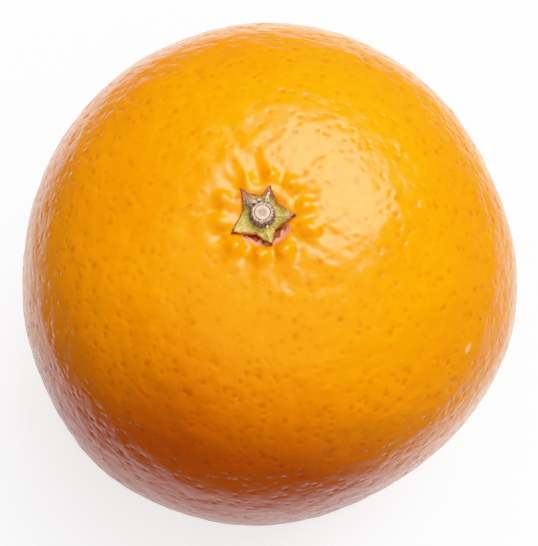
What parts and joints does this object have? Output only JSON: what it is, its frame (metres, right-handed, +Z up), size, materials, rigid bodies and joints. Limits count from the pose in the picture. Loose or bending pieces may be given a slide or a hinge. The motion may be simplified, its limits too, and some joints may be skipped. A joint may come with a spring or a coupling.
{
  "type": "orange",
  "caption": "Whole sweet orange as picked: pebbled peel, a shallow basin at the stem end with a star-shaped calyx and a short cut stem.",
  "frame": {"origin": "on the surface that the orange rests on, under the middle of the fruit's outline as seen from above", "axes": "+Z up, from the resting spot at the blossom end to the stem end; -Y is the side that faces the viewer, with +X to the right"},
  "size_m": [0.075, 0.076, 0.0707],
  "materials": {
    "peel": "pebbled, waxy, half glossy",
    "calyx": "dry leafy, yellow-green, with red-brown edges",
    "cut_stem": "matte, freshly cut and dried",
    "dried_scale": "matte, papery"
  },
  "bodies": {
    "root": {"fruit": "peel", "calyx": "calyx", "stem_stub": "cut_stem", "dried_scale_right": "dried_scale", "dried_scale_left": "dried_scale"}
  },
  "joints": []
}
